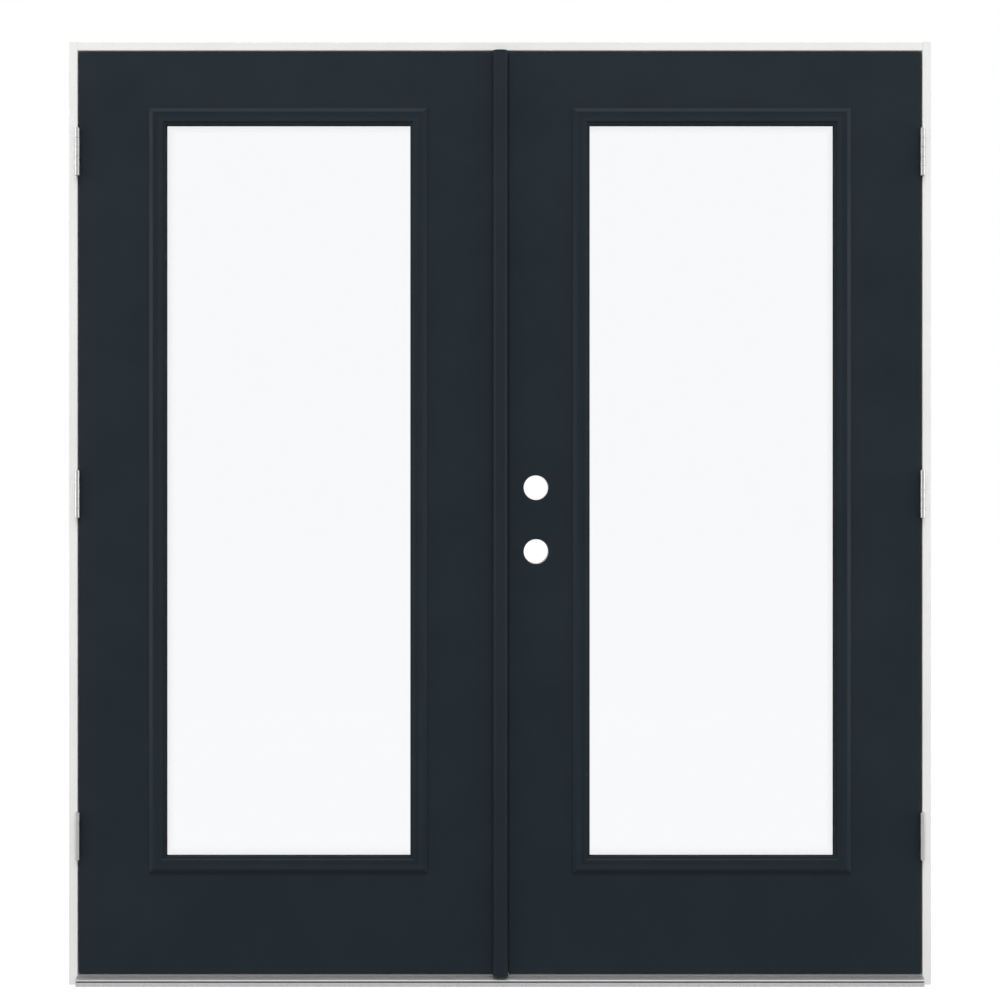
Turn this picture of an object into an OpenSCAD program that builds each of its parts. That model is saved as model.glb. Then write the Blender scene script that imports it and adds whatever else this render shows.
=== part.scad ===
// French doors: two glazed leaves hung in one primed frame, opening outwards.
// X runs across the unit, Y from the outside to the inside and Z up. The origin is on the
// floor, in the middle of the unit's width and of the jambs' depth. Lengths are in millimetres.
// The passive leaf hangs on the left and carries the astragal, the active leaf on the right.

/* [Frame] */
// Overall width of the frame
unit_w = 1881; // [1760:1:2100]
// Overall height of the frame
unit_h = 2056; // [1950:1:2450]
// Depth of the jambs through the wall
jamb_d = 116; // [112:1:170]
// Thickness of the jambs at the stop
jamb_t = 32; // [30:0.5:42]
// Face of the jambs that shows beside the leaves
jamb_face = 19; // [18:0.5:24]
// Space between leaf and stop that the seals fill
seal_gap = 4; // [3:0.1:6]

/* [Sill] */
// Reach of the sill nose in front of the jambs
sill_nose = 17; // [12:0.5:40]
// Height of the sill base at the nose
base_h = 9.1; // [8:0.1:14]
// Shadow groove between the base and the lip of the deck
lip_groove = 2.7; // [1:0.1:4]
// Height of the deck's lip
lip_h = 3.6; // [3.2:0.1:8]
// Rise of the deck's slope in front of the leaves
deck_rise = 6.7; // [2:0.1:9]
// Wall of the aluminium deck
deck_t = 2.5; // [1.5:0.1:3]
// Lap of the threshold behind the leaves
crest_lap = 14; // [10:0.5:20]
// Depth of the flat crest of the threshold
crest_d = 20; // [12:0.5:40]
// Height of the sill at its inside edge
sill_back_h = 20; // [16:0.5:26]

/* [Leaves] */
// Thickness of the leaves
slab_t = 44.5; // [40:0.5:52]
// Thickness of the moulded skins
skin_t = 2; // [1.2:0.1:3]
// Width of the stile at the hinges
hinge_stile_w = 35; // [28:1:50]
// Width of the stile at the meeting edge
lock_stile_w = 30; // [24:1:32]
// Height of the top rail
top_rail_h = 35; // [25:1:60]
// Height of the bottom rail
bottom_rail_h = 45; // [30:1:90]
// Gap over the leaves
head_gap = 4.2; // [3:0.1:6]
// Gap between the leaves and the jambs
hinge_gap = 3.3; // [3:0.1:4]
// Gap between the leaves and the back of the deck
floor_gap = 2; // [1.8:0.1:5]
// Bevel of the active leaf's meeting edge in degrees
bevel = 3; // [1:0.5:4]

/* [Astragal] */
// Width of the astragal's nose
nose_w = 34; // [31:0.5:34.5]
// Reach of the nose in front of the leaves
nose_d = 23; // [16:0.5:28]
// Radius of the nose's front corners
nose_r = 12.5; // [6:0.5:15]
// Shift of the nose from the middle of the unit towards the active leaf
nose_shift = 0.9; // [0:0.1:1.1]
// Width of the stem between the leaves
stem_w = 17.7; // [16:0.1:22]
// Distance of the passive leaf's edge from the middle of the unit
passive_meet = 2.4; // [2:0.1:6]
// Gap between the stem and the active leaf
meet_gap = 3.1; // [3:0.1:5]

/* [Lites] */
// Distance of the lite frames from the middle of the unit
lite_meet = 158; // [150:1:200]
// Margin between the lite frames and the hinge edges
lite_side = 153; // [130:1:200]
// Margin under the lite frames
lite_low = 219; // [150:1:300]
// Margin over the lite frames
lite_high = 121; // [100:1:200]
// Width of the exterior lite frame's moulding
mould_w = 37.5; // [36:0.5:39]
// Width of the interior lite frame's moulding
inner_mould_w = 28; // [27.5:0.5:33]
// Height of the mouldings over the leaf's faces
mould_h = 9; // [7:0.5:14]
// Bearing of the mouldings on the leaf round the cut-out
bearing = 12; // [11:0.5:13]
// Bite of the exterior moulding over the glass
glass_bite = 15.5; // [13:0.5:16]
// Thickness of the insulated glass
glass_t = 22; // [18:0.5:26]
// Thickness of each pane
pane_t = 4; // [3:0.5:6]
// Edge of the spacer that shows inside the interior moulding
spacer_show = 2.2; // [1:0.1:4]

/* [Hinges] */
// Height of the hinge leaves
hinge_h = 101.6; // [88:0.1:114.3]
// Diameter of the knuckles
barrel_d = 11; // [10:0.1:13]
// Diameter of the hinge pins
pin_d = 6; // [5:0.1:7]
// Thickness of the hinge leaves
leaf_t = 2.5; // [2:0.1:3]
// Depth of the hinge leaves in jamb and door
leaf_w = 35; // [30:0.5:40]
// Height of the lowest hinge's centre over the leaf's bottom
hinge_low = 300; // [150:1:400]
// Drop of the highest hinge's centre from the leaf's top
hinge_high = 219; // [150:1:400]

/* [Locks] */
// Diameter of the lock bores
bore_d = 54; // [50:0.1:56]
// Distance of the lock bores from the active leaf's edge
backset = 60.3; // [60:0.1:70]
// Diameter of the latch bores in the leaf's edge
edge_bore_d = 25.4; // [22:0.1:26]
// Height of the lockset's bore over the leaf's bottom
lock_h = 920; // [850:1:1000]
// Distance between the lockset's and the deadbolt's bores
lock_pitch = 139.7; // [130:0.1:150]

/* [Flush bolts] */
// Diameter of the flush bolts
bolt_d = 10; // [8:0.1:11]
// Length of the flush bolts
bolt_len = 220; // [150:1:400]
// Throw of the flush bolts
bolt_throw = 19; // [12:0.5:20]

/* [Hidden] */
$fn = 48;
// Overrun of every cut
cut = 1;
// Steps in each rounded corner of an outline
round_steps = 6;
// Steps in each round corner of the astragal's nose
nose_steps = 12;
// The two sides of the unit
left = -1;
right = 1;

// Places across the unit
half_w = unit_w / 2;
jamb_x = half_w - jamb_face;
stop_x = half_w - jamb_t;
hinge_x = jamb_x - hinge_gap;
pin_x = jamb_x - hinge_gap / 2;
stem_x = stem_w - passive_meet;
active_meet = stem_x + meet_gap;
lite_x = (lite_meet + hinge_x - lite_side) / 2;
lite_w = hinge_x - lite_side - lite_meet;

// Places through the wall
face_y = -jamb_d / 2;
in_y = jamb_d / 2;
back_y = face_y + slab_t;
mid_y = face_y + slab_t / 2;
stop_y = back_y + seal_gap;
nose_y = face_y - sill_nose;
barrel_clear = 1.5;
pin_reach = barrel_d / 2 + barrel_clear;
pin_y = face_y - pin_reach;

// Heights
lip_z = base_h + lip_groove;
deck_front_z = lip_z + lip_h;
deck_back_z = deck_front_z + deck_rise;
slab_z = deck_back_z + floor_gap;
crest_z = slab_z + crest_lap;
head_z = unit_h - jamb_face;
stop_z = unit_h - jamb_t;
slab_top = head_z - head_gap;
slab_h = slab_top - slab_z;
lite_h = slab_h - lite_low - lite_high;
lite_z = slab_z + lite_low + lite_h / 2;
lock_z = slab_z + lock_h;
hinge_low_z = slab_z + hinge_low;
hinge_high_z = slab_top - hinge_high;
hinge_zs = [hinge_low_z, (hinge_low_z + hinge_high_z) / 2, hinge_high_z];
bottom = 0;
middle = 1;
top = 2;

// Jambs: eased arrises and the kerf that holds the weatherstrip
ease = 1.2;
kerf_w = 3;
kerf_d = 10;
kerf_inset = 5;

// Weatherstrips and seals
strip_w = 11;
strip_clear = 0.3;
strip_fit = 0.2;
strip_r = 1.6;
strip_h = seal_gap - strip_clear;
bumper_h = 9;
bumper_drop = 2;

// Sill: lap of the slope under the leaves, overhang of the lip, rounding of its edge, depth of
// the shadow groove, grip grooves
slope_lap = 1;
slope_y = face_y + slope_lap;
lip_over = 1;
lip_r = 1.6;
groove_d = 6;
grip_w = 1.6;
grip_depth = 0.8;
grip_pitch = 4;
grip_count = 3;

// Sweep under each leaf
sweep_w = 32;
sweep_t = 0.8;
sweep_end = 1;
fin_t = 1.2;
fin_clear = 0.4;
fin_shares = [-0.4, 0, 0.4];

// Hinges: knuckles, plates, screws
knuckles = 5;
knuckle_gap = 0.4;
knuckle_h = (hinge_h - (knuckles - 1) * knuckle_gap) / knuckles;
pin_clear = 0.05;
pin_button_step = 0.5;
pin_button_d = barrel_d - 2 * pin_button_step;
pin_button_h = 2;
pin_crown_h = 1;
plate_r = 10;
plate_y0 = sqrt(pow(barrel_d / 2 + knuckle_gap, 2) - pow(hinge_gap / 2, 2));
plate_y1 = pin_reach + leaf_w;
mortise_clear = 0.15;
screw_d = 4.5;
screw_head_d = 8.4;
screw_head_h = 2;
screw_len = 15;
screw_clear = 0.05;
// Cross recess of the screws
drive_w = 1.2;
drive_depth = 1.4;
drive_arm_share = 0.6;
// Screws of a hinge plate: shares of the plate's depth and of half its height
screw_shares = [[0.42, 0], [0.74, 0.62], [0.74, -0.62]];

// Mouldings, measured inwards from their outer edge and outwards from the leaf: a bevel, a
// hollow and a bead, which ends in a step outside and rolls over to the glass inside
edge_h = 2;
bevel_w = 10;
cove_w = 11;
cove_drop = 4;
cove_bow_share = 0.4;
valley_h = mould_h - cove_drop;
bead_w = 7.5;
inner_bead_w = 2.5;
bead_rise = 1.8;
bead_fall_w = 4;
step_h = 3.5;
step_r = 1;
roll_drop = 5;
web_drop = 3;
cutout_fit = 0.5;
glass_set = (slab_t - glass_t) / 2;
glass_edge = mould_w - glass_bite;
seat_wall = 1;
spacer_set = 1.7;
spacer_w = inner_mould_w - glass_edge + spacer_show - spacer_set;
cutout_w = lite_w - 2 * bearing;
cutout_h = lite_h - 2 * bearing;
glass_w = lite_w - 2 * glass_edge;
glass_h = lite_h - 2 * glass_edge;

// Screws of the lite frames, in bosses that fill the room between the cut-out and the glass
boss_fit = 0.25;
boss_d = glass_edge - seat_wall - bearing - cutout_fit - 2 * boss_fit;
boss_inset = (bearing + cutout_fit + glass_edge - seat_wall) / 2;
lite_screw_d = 3.5;
lite_screw_head_d = 6.4;
lite_screw_head_h = 2;
lite_screw_len = 32;
lite_screw_sink = 0.3;
lite_screw_end = 95;
lite_screws_tall = 5;
lite_screws_wide = 2;

// Lock block round the bores
block_wall = 20.6;
block_end = 68;
block_w = backset + bore_d / 2 + block_wall - lock_stile_w;
block_h = lock_pitch + bore_d + 2 * block_end;
bore_zs = [lock_z, lock_z + lock_pitch];

// Astragal: seal kerf, strikes and the channels of the flush bolts
seal_inset = 6;
seal_kerf_w = 2.4;
seal_kerf_d = 4;
seal_r = 2.7;
strike_h = 57;
strike_w = 27;
strike_t = 1.6;
strike_r = 6;
strike_hole_w = 15;
strike_hole_h = 22;
strike_pocket = 10;
bolt_x = (stem_x - passive_meet) / 2;
bolt_clear = 0.08;
bolt_set = 0.5;
bolt_tip_h = 2.5;
bolt_tip_taper = 1.5;
bolt_tip_d = bolt_d - 2 * bolt_tip_taper;
bolt_hole_clear = 0.5;
bolt_hole_d = bolt_d + 2 * bolt_hole_clear;
bolt_hole_end = 2;
thumb_w = 7;
thumb_h = 20;
thumb_low = 12;
thumb_clear = 0.3;
thumb_set = 0.8;
thumb_groove = 1;
thumb_grooves = 4;

// Colours
primer = [0.92, 0.92, 0.91];
slate = [0.16, 0.19, 0.22];
satin = [0.75, 0.76, 0.77];
mill = [0.68, 0.69, 0.70];
vinyl = [0.10, 0.10, 0.11];
timber = [0.76, 0.62, 0.44];
foam = [0.88, 0.84, 0.68];
clear_glass = [0.80, 0.90, 0.92, 0.35];

// Points of an arc, with its own radius along each axis
function arc(x, y, rx, ry, from, to, steps = round_steps) = [
    for (i = [0:steps])
        let (a = from + (to - from) * i / steps) [x + rx * cos(a), y + ry * sin(a)]
];

// Outline of a plate that is rounded at its two far corners
function tongue_outline(near, far, half, r) = concat(
    [[near, half], [near, -half]],
    arc(far - r, -half + r, r, r, -90, 0),
    arc(far - r, half - r, r, r, 0, 90)
);

// Distance of a leaf's meeting edge from the middle of the unit, at a depth in the wall
function meet_at(hand, y) =
    hand == left ? passive_meet : active_meet + (y - face_y) * tan(bevel);

// Height of the sill's deck at a depth in the wall
function deck_z(y) = deck_front_z + deck_rise * min(1, (y - nose_y) / (slope_y - nose_y));

// Everything is drawn for the right side of the unit and mirrored for the left
module on_side(hand) {
    if (hand == right)
        children();
    else
        mirror([1, 0, 0]) children();
}

// A section drawn in Y and Z, extruded along X from one place to another
module along_x(from, to) {
    translate([from, 0, 0]) rotate([90, 0, 90]) linear_extrude(to - from) children();
}

// A block between two corners
module block(low, high) {
    translate(low) cube(high - low);
}

// Frame

module jamb(hand) {
    color(primer) on_side(hand) difference() {
        linear_extrude(unit_h) polygon([
            [jamb_x + ease, face_y], [half_w - ease, face_y], [half_w, face_y + ease],
            [half_w, in_y - ease], [half_w - ease, in_y], [stop_x + ease, in_y],
            [stop_x, in_y - ease], [stop_x, stop_y + ease], [stop_x + ease, stop_y],
            [jamb_x, stop_y], [jamb_x, face_y + ease]
        ]);
        // The stop is coped under the head
        block([stop_x - cut, stop_y - cut, stop_z], [jamb_x, in_y + cut, unit_h + cut]);
        // Kerf of the weatherstrip
        block([jamb_x - kerf_inset - kerf_w / 2, stop_y - cut, -cut],
            [jamb_x - kerf_inset + kerf_w / 2, stop_y + kerf_d, unit_h + cut]);
        for (z = hinge_zs) translate([pin_x, pin_y, z]) plate_mortise();
    }
}

module head_jamb() {
    color(primer) difference() {
        along_x(-jamb_x, jamb_x) polygon([
            [face_y, head_z + ease], [face_y + ease, head_z], [stop_y, head_z],
            [stop_y, stop_z + ease], [stop_y + ease, stop_z], [in_y - ease, stop_z],
            [in_y, stop_z + ease], [in_y, unit_h - ease], [in_y - ease, unit_h],
            [face_y + ease, unit_h], [face_y, unit_h - ease]
        ]);
        block([-jamb_x - cut, stop_y - cut, head_z - kerf_inset - kerf_w / 2],
            [jamb_x + cut, stop_y + kerf_d, head_z - kerf_inset + kerf_w / 2]);
        // Socket of the top flush bolt
        translate([bolt_x, mid_y, head_z - cut])
            cylinder(d = bolt_hole_d, h = cut + jamb_face - bolt_hole_end);
    }
}

// The sill is as wide as the rabbets in front of the stop and fits between the stops behind it
module between_jambs() {
    difference() {
        along_x(-jamb_x, jamb_x) children();
        for (hand = [left, right]) on_side(hand)
            block([stop_x, stop_y, -cut], [jamb_x + cut, in_y + cut, crest_z + cut]);
    }
}

module bolt_socket() {
    translate([bolt_x, mid_y, bolt_hole_end])
        cylinder(d = bolt_hole_d, h = deck_back_z);
}

module sill_base() {
    groove_y = nose_y + groove_d;
    color(timber) difference() {
        between_jambs() polygon([
            [nose_y + lip_over, 0], [in_y, 0], [in_y, sill_back_h - deck_t],
            [stop_y + crest_d, crest_z - deck_t], [stop_y + deck_t, crest_z - deck_t],
            [stop_y + deck_t, deck_back_z - deck_t], [slope_y + deck_t, deck_back_z - deck_t],
            [groove_y, deck_z(groove_y - deck_t) - deck_t], [groove_y, base_h],
            [nose_y + lip_over, base_h]
        ]);
        bolt_socket();
    }
}

module sill_deck() {
    color(mill) difference() {
        between_jambs() polygon(concat(
            [[nose_y + deck_t, lip_z], [nose_y, lip_z]],
            arc(nose_y + lip_r, deck_front_z - lip_r, lip_r, lip_r, 180, 90),
            [
                [slope_y, deck_back_z], [stop_y, deck_back_z], [stop_y, crest_z],
                [stop_y + crest_d, crest_z],
                [in_y, sill_back_h], [in_y, sill_back_h - deck_t],
                [stop_y + crest_d, crest_z - deck_t], [stop_y + deck_t, crest_z - deck_t],
                [stop_y + deck_t, deck_back_z - deck_t], [slope_y + deck_t, deck_back_z - deck_t],
                [nose_y + deck_t, deck_front_z - deck_t]
            ]
        ));
        // Grip grooves along the nose
        for (i = [1:grip_count]) let (y = nose_y + i * grip_pitch)
            block([-jamb_x - cut, y - grip_w / 2, deck_z(y) - grip_depth],
                [jamb_x + cut, y + grip_w / 2, deck_z(y) + cut]);
        bolt_socket();
    }
}

module threshold_seal() {
    seal_top = crest_z - bumper_drop;
    color(vinyl) along_x(-stop_x, stop_x) polygon(concat(
        [[stop_y, seal_top], [stop_y, seal_top - bumper_h]],
        arc(stop_y - strip_h + strip_r, seal_top - bumper_h + strip_r, strip_r, strip_r, 270, 180),
        arc(stop_y - strip_h + strip_r, seal_top - strip_r, strip_r, strip_r, 180, 90)
    ));
}

// Section of a weatherstrip: inwards from the rabbet, and from the stop towards the leaf
module strip_section() {
    polygon(concat(
        [
            [kerf_inset - kerf_w / 2 + strip_fit, 0],
            [kerf_inset - kerf_w / 2 + strip_fit, strip_fit - kerf_d],
            [kerf_inset + kerf_w / 2 - strip_fit, strip_fit - kerf_d],
            [kerf_inset + kerf_w / 2 - strip_fit, 0], [strip_w, 0]
        ],
        arc(strip_w - strip_r, strip_h - strip_r, strip_r, strip_r, 0, 90),
        arc(strip_fit + strip_r, strip_h - strip_r, strip_r, strip_r, 90, 180),
        [[strip_fit, 0]]
    ));
}

module side_weatherstrip(hand) {
    color(vinyl) on_side(hand)
        difference() {
            translate([jamb_x, stop_y, deck_back_z + strip_fit])
                rotate([0, 0, 180]) linear_extrude(head_z - deck_back_z - 2 * strip_fit)
                    strip_section();
            // The fin ends under the stop of the head
            block([stop_x, stop_y, stop_z - strip_fit], [jamb_x, stop_y + kerf_d, head_z]);
        }
}

module head_weatherstrip() {
    reach = jamb_x - strip_w - strip_fit;
    color(vinyl) translate([-reach, stop_y, head_z])
        rotate([0, 90, 0]) linear_extrude(2 * reach) mirror([0, 1, 0]) strip_section();
}

// Hinges, drawn with the pin along Z through the origin and the jamb's plate on the +X side

// A plate that is grown round its outline and out of the face that it is let into
module plate(grow, over) {
    translate([hinge_gap / 2 - over, 0, 0]) rotate([90, 0, 90]) linear_extrude(leaf_t + over)
        polygon(tongue_outline(plate_y0, plate_y1 + grow, hinge_h / 2 + grow, plate_r + grow));
}

module at_plate_screws() {
    for (share = screw_shares)
        translate([
            hinge_gap / 2, plate_y0 + share[0] * (plate_y1 - plate_y0), share[1] * hinge_h / 2
        ]) rotate([0, 90, 0]) children();
}

// Body of a countersunk screw along Z, with its head at Z zero
module countersunk(grow) {
    cylinder(d1 = screw_head_d + 2 * grow, d2 = screw_d + 2 * grow, h = screw_head_h);
    cylinder(d = screw_d + 2 * grow, h = screw_len + grow);
}

module plate_screw_holes() {
    at_plate_screws() {
        countersunk(screw_clear);
        translate([0, 0, -cut]) cylinder(d = screw_head_d + 2 * screw_clear, h = cut);
    }
}

module plate_screws() {
    at_plate_screws() difference() {
        countersunk(0);
        cross_recess(screw_head_d);
    }
}

// Cross recess for the driver in a screw's head, whose top is at Z zero
module cross_recess(head_d) {
    arm = drive_arm_share * head_d;
    for (turn = [0, 90]) rotate([0, 0, turn])
        block([-arm / 2, -drive_w / 2, -cut], [arm / 2, drive_w / 2, drive_depth]);
}

// What one plate and its screws take out of an edge
module plate_mortise() {
    plate(mortise_clear, cut);
    plate_screw_holes();
}

// One half of a hinge: a plate with every second knuckle, from the first or the second one
module hinge_half(first) {
    difference() {
        union() {
            plate(0, 0);
            for (i = [first:2:knuckles - 1])
                translate([0, 0, i * (knuckle_h + knuckle_gap) - hinge_h / 2]) {
                    cylinder(d = barrel_d, h = knuckle_h);
                    block([hinge_gap / 2, 0, 0], [hinge_gap / 2 + leaf_t, plate_y0 + cut, knuckle_h]);
                }
        }
        translate([0, 0, -hinge_h / 2 - cut])
            cylinder(d = pin_d + 2 * pin_clear, h = hinge_h + 2 * cut);
        plate_screw_holes();
    }
}

module at_hinge(hand, level) {
    on_side(hand) translate([pin_x, pin_y, hinge_zs[level]]) children();
}

module jamb_leaf(hand, level) {
    color(satin) at_hinge(hand, level) hinge_half(0);
}

module door_leaf(hand, level) {
    color(satin) at_hinge(hand, level) mirror([1, 0, 0]) hinge_half(1);
}

module hinge_pin() {
    translate([0, 0, -hinge_h / 2]) cylinder(d = pin_d, h = hinge_h + pin_button_h);
    translate([0, 0, hinge_h / 2]) {
        cylinder(d = pin_button_d, h = pin_button_h);
        translate([0, 0, pin_button_h])
            cylinder(d1 = pin_button_d, d2 = pin_d, h = pin_crown_h);
    }
}

module hinge_pins() {
    color(satin) for (hand = [left, right], level = [bottom, middle, top])
        at_hinge(hand, level) hinge_pin();
}

module jamb_hinge_screws() {
    color(satin) for (hand = [left, right], level = [bottom, middle, top])
        at_hinge(hand, level) plate_screws();
}

module door_hinge_screws(hand) {
    color(satin) for (level = [bottom, middle, top])
        at_hinge(hand, level) mirror([1, 0, 0]) plate_screws();
}

// What the hinges take out of a leaf's edge
module door_mortises() {
    for (z = hinge_zs) translate([pin_x, pin_y, z]) mirror([1, 0, 0]) plate_mortise();
}

// Leaves

// A slice of a leaf from its meeting edge to a place across it, between two depths and heights
module meeting_slice(hand, to, low_y, high_y, low_z, high_z) {
    translate([0, 0, low_z]) linear_extrude(high_z - low_z) polygon([
        [meet_at(hand, low_y), low_y], [to, low_y], [to, high_y], [meet_at(hand, high_y), high_y]
    ]);
}

module lite_cutout() {
    block([lite_x - cutout_w / 2, face_y - cut, lite_z - cutout_h / 2],
        [lite_x + cutout_w / 2, back_y + cut, lite_z + cutout_h / 2]);
}

// Bores of the lockset and the deadbolt through the active leaf, and of their latches
module lock_bores() {
    for (z = bore_zs) {
        translate([active_meet + backset, face_y - cut, z]) rotate([-90, 0, 0])
            cylinder(d = bore_d, h = slab_t + 2 * cut);
        translate([active_meet - cut, mid_y, z]) rotate([0, 90, 0])
            cylinder(d = edge_bore_d, h = backset);
    }
}

module skin(hand, low_y) {
    color(slate) on_side(hand) difference() {
        meeting_slice(hand, hinge_x, low_y, low_y + skin_t, slab_z, slab_top);
        lite_cutout();
        door_mortises();
        if (hand == right) lock_bores();
    }
}

module hinge_stile(hand) {
    color(slate) on_side(hand) difference() {
        block([hinge_x - hinge_stile_w, face_y + skin_t, slab_z],
            [hinge_x, back_y - skin_t, slab_top]);
        door_mortises();
    }
}

module lock_stile(hand) {
    color(slate) on_side(hand) difference() {
        meeting_slice(hand, meet_at(hand, face_y) + lock_stile_w,
            face_y + skin_t, back_y - skin_t, slab_z, slab_top);
        if (hand == right) lock_bores();
    }
}

module rail(hand, low_z, high_z) {
    color(slate) on_side(hand)
        block([meet_at(hand, face_y) + lock_stile_w, face_y + skin_t, low_z],
            [hinge_x - hinge_stile_w, back_y - skin_t, high_z]);
}

module lock_block_solid() {
    block_x = active_meet + lock_stile_w;
    block_z = lock_z + lock_pitch / 2;
    block([block_x, face_y + skin_t, block_z - block_h / 2],
        [block_x + block_w, back_y - skin_t, block_z + block_h / 2]);
}

module active_lock_block() {
    color(timber) difference() {
        lock_block_solid();
        lock_bores();
    }
}

module core(hand) {
    color(foam) on_side(hand) difference() {
        block([meet_at(hand, face_y) + lock_stile_w, face_y + skin_t, slab_z + bottom_rail_h],
            [hinge_x - hinge_stile_w, back_y - skin_t, slab_top - top_rail_h]);
        lite_cutout();
        if (hand == right) lock_block_solid();
    }
}

module sweep(hand) {
    from = meet_at(hand, back_y) + sweep_end;
    to = hinge_x - sweep_end;
    color(vinyl) on_side(hand) {
        block([from, mid_y - sweep_w / 2, slab_z - sweep_t], [to, mid_y + sweep_w / 2, slab_z]);
        for (share = fin_shares) let (y = mid_y + share * sweep_w)
            block([from, y - fin_t / 2, deck_z(y + fin_t / 2) + fin_clear],
                [to, y + fin_t / 2, slab_z - sweep_t / 2]);
    }
}

// Lites, drawn round the lite's centre with the leaf's outer face at Y zero and the outside at -Y

// Outline of a moulding from the leaf's face to the top of its bead
bead_h = valley_h + bead_rise;
valley_x = bevel_w + cove_w;
function front_outline(bead) = concat(
    [[0, 0], [0, edge_h]],
    [
        for (i = [0:round_steps]) let (t = i / round_steps)
            [bevel_w + cove_w * t, mould_h - cove_drop * t * (1 + cove_bow_share * (1 - t))]
    ],
    [
        for (i = [1:round_steps - 1]) let (t = i / round_steps)
            [valley_x + bead * t, valley_h + bead_rise * sin(90 * t)]
    ]
);

// Outline of a moulding's back, from the glass round its seat to the leaf's face
function back_outline(width) = [
    [width, -glass_set], [glass_edge - seat_wall, -glass_set], [glass_edge - seat_wall, -web_drop],
    [bearing + cutout_fit, -web_drop], [bearing + cutout_fit, 0]
];

exterior_outline = concat(
    front_outline(bead_w),
    arc(valley_x + bead_w, step_h, bead_fall_w, bead_h - step_h, 90, 0),
    arc(mould_w - step_r, step_h - step_r, step_r, step_r, 90, 0),
    back_outline(mould_w)
);
roll_w = inner_mould_w - valley_x - inner_bead_w;
interior_outline = concat(
    front_outline(inner_bead_w),
    arc(valley_x + inner_bead_w, -roll_drop, roll_w, bead_h + roll_drop, 90, 0),
    back_outline(inner_mould_w)
);

// One bar of a moulding along Z at half the given size from the centre, cut to its mitres
module mould_bar(outline, width, size, length) {
    outer = size / 2 + cut;
    inner = size / 2 - width - cut;
    outer_end = length / 2 + cut;
    inner_end = length / 2 - width - cut;
    intersection() {
        translate([size / 2, 0, 0]) rotate([0, 0, 180])
            linear_extrude(2 * outer_end, center = true) polygon(outline);
        rotate([90, 0, 0]) linear_extrude(2 * slab_t, center = true) polygon([
            [outer, outer_end], [outer, -outer_end], [inner, -inner_end], [inner, inner_end]
        ]);
    }
}

module mould_ring(outline, width) {
    for (side = [0, 1]) {
        mirror([side, 0, 0]) mould_bar(outline, width, lite_w, lite_h);
        mirror([0, 0, side]) rotate([0, -90, 0]) mould_bar(outline, width, lite_h, lite_w);
    }
}

// Places of the screws round the moulding
function spread(count, length) = [
    for (i = [0:count - 1]) (length - 2 * lite_screw_end) * (i / (count - 1) - 1 / 2)
];
screw_x = lite_w / 2 - boss_inset;
screw_z = lite_h / 2 - boss_inset;
lite_screw_places = concat(
    [for (side = [left, right], z = spread(lite_screws_tall, lite_h)) [side * screw_x, z]],
    [for (side = [left, right], x = spread(lite_screws_wide, lite_w)) [x, side * screw_z]]
);

module at_lite_screws(depth) {
    for (place = lite_screw_places)
        translate([place[0], depth, place[1]]) rotate([-90, 0, 0]) children();
}

module at_lite(hand) {
    on_side(hand) translate([lite_x, face_y, lite_z]) children();
}

// The screws go in from the inside, with their heads sunk in the hollow of the moulding
screw_head_y = slab_t + valley_h - lite_screw_sink;

// Body of a screw that goes in along -Z, with its head at Z zero and grown over it
module cheese_head(grow, over) {
    translate([0, 0, -lite_screw_head_h])
        cylinder(d = lite_screw_head_d + 2 * grow, h = lite_screw_head_h + over);
    translate([0, 0, -lite_screw_len - grow])
        cylinder(d = lite_screw_d + 2 * grow, h = lite_screw_len);
}

module lite_screw_holes() {
    at_lite_screws(screw_head_y) cheese_head(screw_clear, mould_h);
}

module exterior_lite_frame(hand) {
    color(slate) at_lite(hand) difference() {
        union() {
            mould_ring(exterior_outline, mould_w);
            at_lite_screws(web_drop - cut)
                cylinder(d = boss_d, h = slab_t - 2 * web_drop + cut);
        }
        lite_screw_holes();
    }
}

module interior_lite_frame(hand) {
    color(slate) at_lite(hand) difference() {
        translate([0, slab_t, 0]) mirror([0, 1, 0])
            mould_ring(interior_outline, inner_mould_w);
        lite_screw_holes();
    }
}

module lite_screws(hand) {
    color(satin) at_lite(hand) at_lite_screws(screw_head_y) difference() {
        cheese_head(0, 0);
        mirror([0, 0, 1]) cross_recess(lite_screw_head_d);
    }
}

module pane(hand, depth) {
    color(clear_glass) at_lite(hand)
        block([-glass_w / 2, depth, -glass_h / 2], [glass_w / 2, depth + pane_t, glass_h / 2]);
}

module spacer(hand) {
    half = [glass_w / 2 - spacer_set, 0, glass_h / 2 - spacer_set];
    bar = [spacer_w, 0, spacer_w];
    front = [0, glass_set + pane_t, 0];
    behind = [0, slab_t - glass_set - pane_t, 0];
    over = [0, cut, 0];
    color(vinyl) at_lite(hand) difference() {
        block(front - half, behind + half);
        block(front - half + bar - over, behind + half - bar + over);
    }
}

// Astragal and what it carries

module strike_cut(z) {
    translate([stem_x - strike_t, mid_y, z]) rotate([90, 0, 90]) linear_extrude(strike_t + cut)
        strike_outline();
    block([stem_x - strike_pocket, mid_y - strike_hole_w / 2, z - strike_hole_h / 2],
        [stem_x, mid_y + strike_hole_w / 2, z + strike_hole_h / 2]);
}

module strike_outline() {
    polygon(concat(
        arc(strike_w / 2 - strike_r, strike_h / 2 - strike_r, strike_r, strike_r, 0, 90),
        arc(strike_r - strike_w / 2, strike_h / 2 - strike_r, strike_r, strike_r, 90, 180),
        arc(strike_r - strike_w / 2, strike_r - strike_h / 2, strike_r, strike_r, 180, 270),
        arc(strike_w / 2 - strike_r, strike_r - strike_h / 2, strike_r, strike_r, 270, 360)
    ));
}

module strike(z) {
    color(satin) translate([stem_x - strike_t, mid_y, z]) rotate([90, 0, 90])
        linear_extrude(strike_t) difference() {
            strike_outline();
            square([strike_hole_w, strike_hole_h], center = true);
        }
}

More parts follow.
